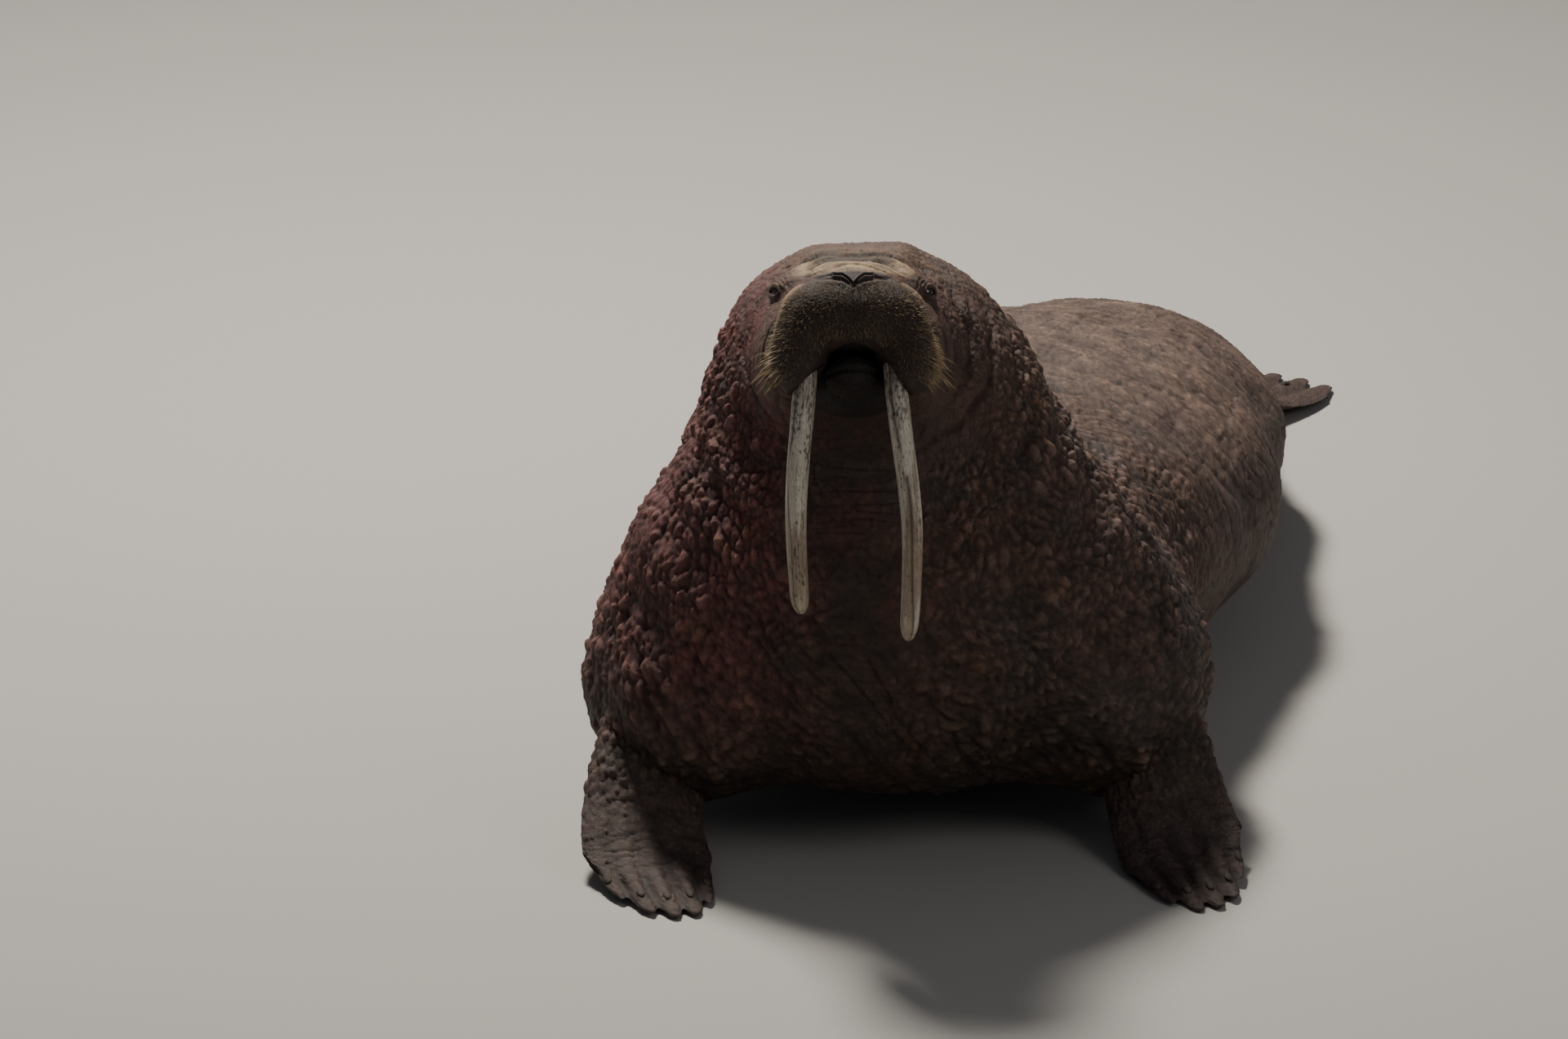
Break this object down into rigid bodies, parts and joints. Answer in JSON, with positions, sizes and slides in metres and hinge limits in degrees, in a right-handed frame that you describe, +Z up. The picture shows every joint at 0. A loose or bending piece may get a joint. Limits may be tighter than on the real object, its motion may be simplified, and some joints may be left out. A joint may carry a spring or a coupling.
{
  "type": "walrus",
  "caption": "Life-size still model of a walrus bull propped on its foreflippers, head raised, with long tusks and a bristly muzzle.",
  "frame": {"origin": "middle of the part's bounding box, on the floor the animal rests on", "axes": "+Z up, -Y out of the muzzle, +Y towards the hind flippers, +X to the animal's left"},
  "size_m": [1.6524, 3.3098, 1.2442],
  "materials": {
    "hide": "matte, rough, folded hide with small bosses, reddish brown",
    "muzzle_hide": "matte hide set with pale bristles",
    "flipper_hide": "matte, dark, warty hide",
    "ivory": "satin ivory with dark lengthwise cracks and brown stains",
    "eye": "wet, dark brown"
  },
  "bodies": {
    "root": {"muzzle": "muzzle_hide", "head": "hide", "lower_jaw": "hide", "eye_left": "eye", "eye_right": "eye", "tusk_left": "ivory", "tusk_right": "ivory", "neck": "hide", "chest": "hide", "belly": "hide", "rump": "hide", "tail": "hide", "foreflipper_left": "flipper_hide", "foreflipper_right": "flipper_hide", "hindflipper_left": "flipper_hide", "hindflipper_right": "flipper_hide"}
  },
  "joints": []
}
